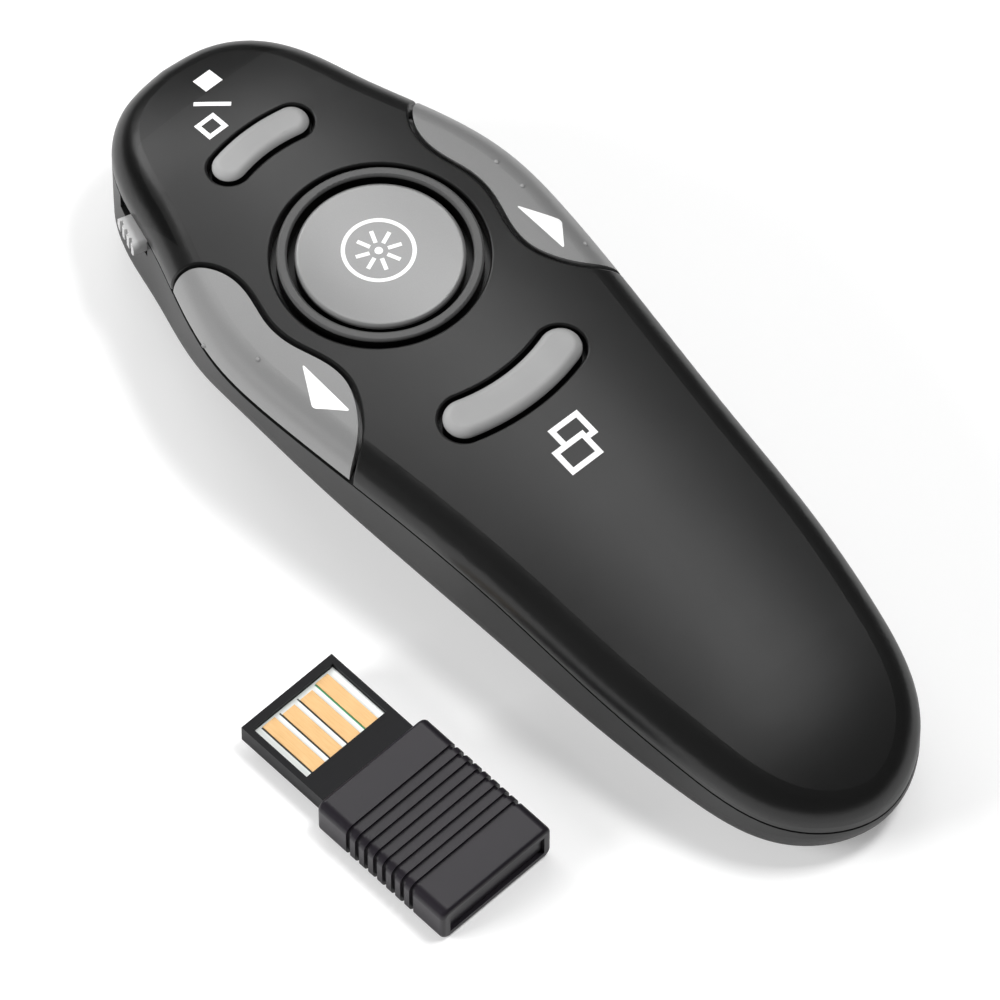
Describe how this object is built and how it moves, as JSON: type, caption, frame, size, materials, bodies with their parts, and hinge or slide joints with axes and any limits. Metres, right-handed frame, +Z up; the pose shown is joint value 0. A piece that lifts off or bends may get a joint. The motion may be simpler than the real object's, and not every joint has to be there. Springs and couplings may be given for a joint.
{
  "type": "wireless presentation clicker",
  "caption": "Long handheld presentation remote with a round laser button, crescent and side push buttons, a slide power switch, a battery cover and a USB receiver beside it.",
  "frame": {"origin": "on the flat belly of the casing, half way along its length and on its middle plane", "axes": "+Y along the casing to its laser end, +Z up from the belly to the buttons, +X to the right of someone who points the laser end away; the receiver lies on the -X side"},
  "size_m": [0.0584, 0.106, 0.0205],
  "materials": {
    "top_shell": "soft-touch dark grey moulded plastic, fine texture",
    "bottom_shell": "satin dark grey moulded plastic",
    "battery_cover": "satin dark grey moulded plastic",
    "laser_button": "silver paint over plastic, satin",
    "button_bezel": "satin mid-grey moulded plastic",
    "silver_button": "silver paint over plastic, satin",
    "side_button": "silver paint over plastic, satin",
    "power_knob": "pale grey plastic",
    "switch_metal": "tinned steel",
    "circuit_board": "green solder mask",
    "switch_plastic": "black plastic",
    "switch_plunger": "black plastic",
    "chip": "black moulded resin",
    "component": "tan ceramic",
    "screw": "zinc-plated steel",
    "battery": "plain printed sleeve over steel",
    "contact_metal": "nickel-plated spring steel",
    "lead": "black insulated wire",
    "brass": "turned brass",
    "lens": "clear moulded lens",
    "laser_window": "dark red tinted window",
    "receiver_body": "glossy black plastic",
    "receiver_cap": "glossy black plastic",
    "plug_tray": "black plastic",
    "plug_board": "white coated circuit board",
    "gold_contact": "gold-plated copper pads"
  },
  "bodies": {
    "casing": {"top_shell": "top_shell", "bottom_shell": "bottom_shell", "button_bezel": "button_bezel", "main_board": "circuit_board", "switch_bases": "switch_plastic", "switch_covers": "switch_metal", "processor_chip": "chip", "radio_crystal": "switch_metal", "chip_components": "component", "board_screws": "screw", "case_screws": "screw", "battery": "battery", "battery_spring": "contact_metal", "negative_contact": "contact_metal", "positive_contact": "contact_metal", "negative_lead": "lead", "laser_barrel": "brass", "laser_diode": "switch_metal", "laser_lens": "lens", "laser_window": "laser_window", "power_switch_body": "switch_metal"},
    "laser_button": {"laser_button": "laser_button", "laser_switch_plunger": "switch_plunger"},
    "black_screen_button": {"black_screen_button": "silver_button", "upper_switch_plunger": "switch_plunger"},
    "window_button": {"window_button": "silver_button", "lower_switch_plunger": "switch_plunger"},
    "previous_button": {"previous_button": "side_button", "previous_switch_plunger": "switch_plunger"},
    "next_button": {"next_button": "side_button", "next_switch_plunger": "switch_plunger"},
    "power_switch_knob": {"power_switch_knob": "power_knob"},
    "battery_cover": {"battery_cover": "battery_cover"},
    "receiver": {"receiver_body": "receiver_body", "receiver_cap": "receiver_cap", "plug_tray": "plug_tray", "plug_board": "plug_board", "plug_contacts": "gold_contact", "receiver_chip": "chip"}
  },
  "joints": [
    {"name": "laser_button_press", "type": "slide", "parent": "casing", "child": "laser_button", "axis": [0, 0, -1], "range_m": [0, 0.0005], "stiffness_N_per_m": 1000},
    {"name": "black_screen_button_press", "type": "slide", "parent": "casing", "child": "black_screen_button", "axis": [0, 0, -1], "range_m": [0, 0.0005], "stiffness_N_per_m": 1000},
    {"name": "window_button_press", "type": "slide", "parent": "casing", "child": "window_button", "axis": [0, 0, -1], "range_m": [0, 0.0005], "stiffness_N_per_m": 1000},
    {"name": "previous_button_press", "type": "slide", "parent": "casing", "child": "previous_button", "axis": [0, 0, -1], "range_m": [0, 0.0005], "stiffness_N_per_m": 1000},
    {"name": "next_button_press", "type": "slide", "parent": "casing", "child": "next_button", "axis": [0, 0, -1], "range_m": [0, 0.0005], "stiffness_N_per_m": 1000},
    {"name": "power_switch_slide", "type": "slide", "parent": "casing", "child": "power_switch_knob", "axis": [0.3016, 0.9534, 0], "range_m": [0, 0.002]},
    {"name": "battery_cover_slide", "type": "slide", "parent": "casing", "child": "battery_cover", "axis": [0, -1, 0], "range_m": [0, 0.007]},
    {"name": "receiver_lift", "type": "slide", "parent": "casing", "child": "receiver", "axis": [0, 0, 1], "range_m": [0, 0.025]}
  ]
}
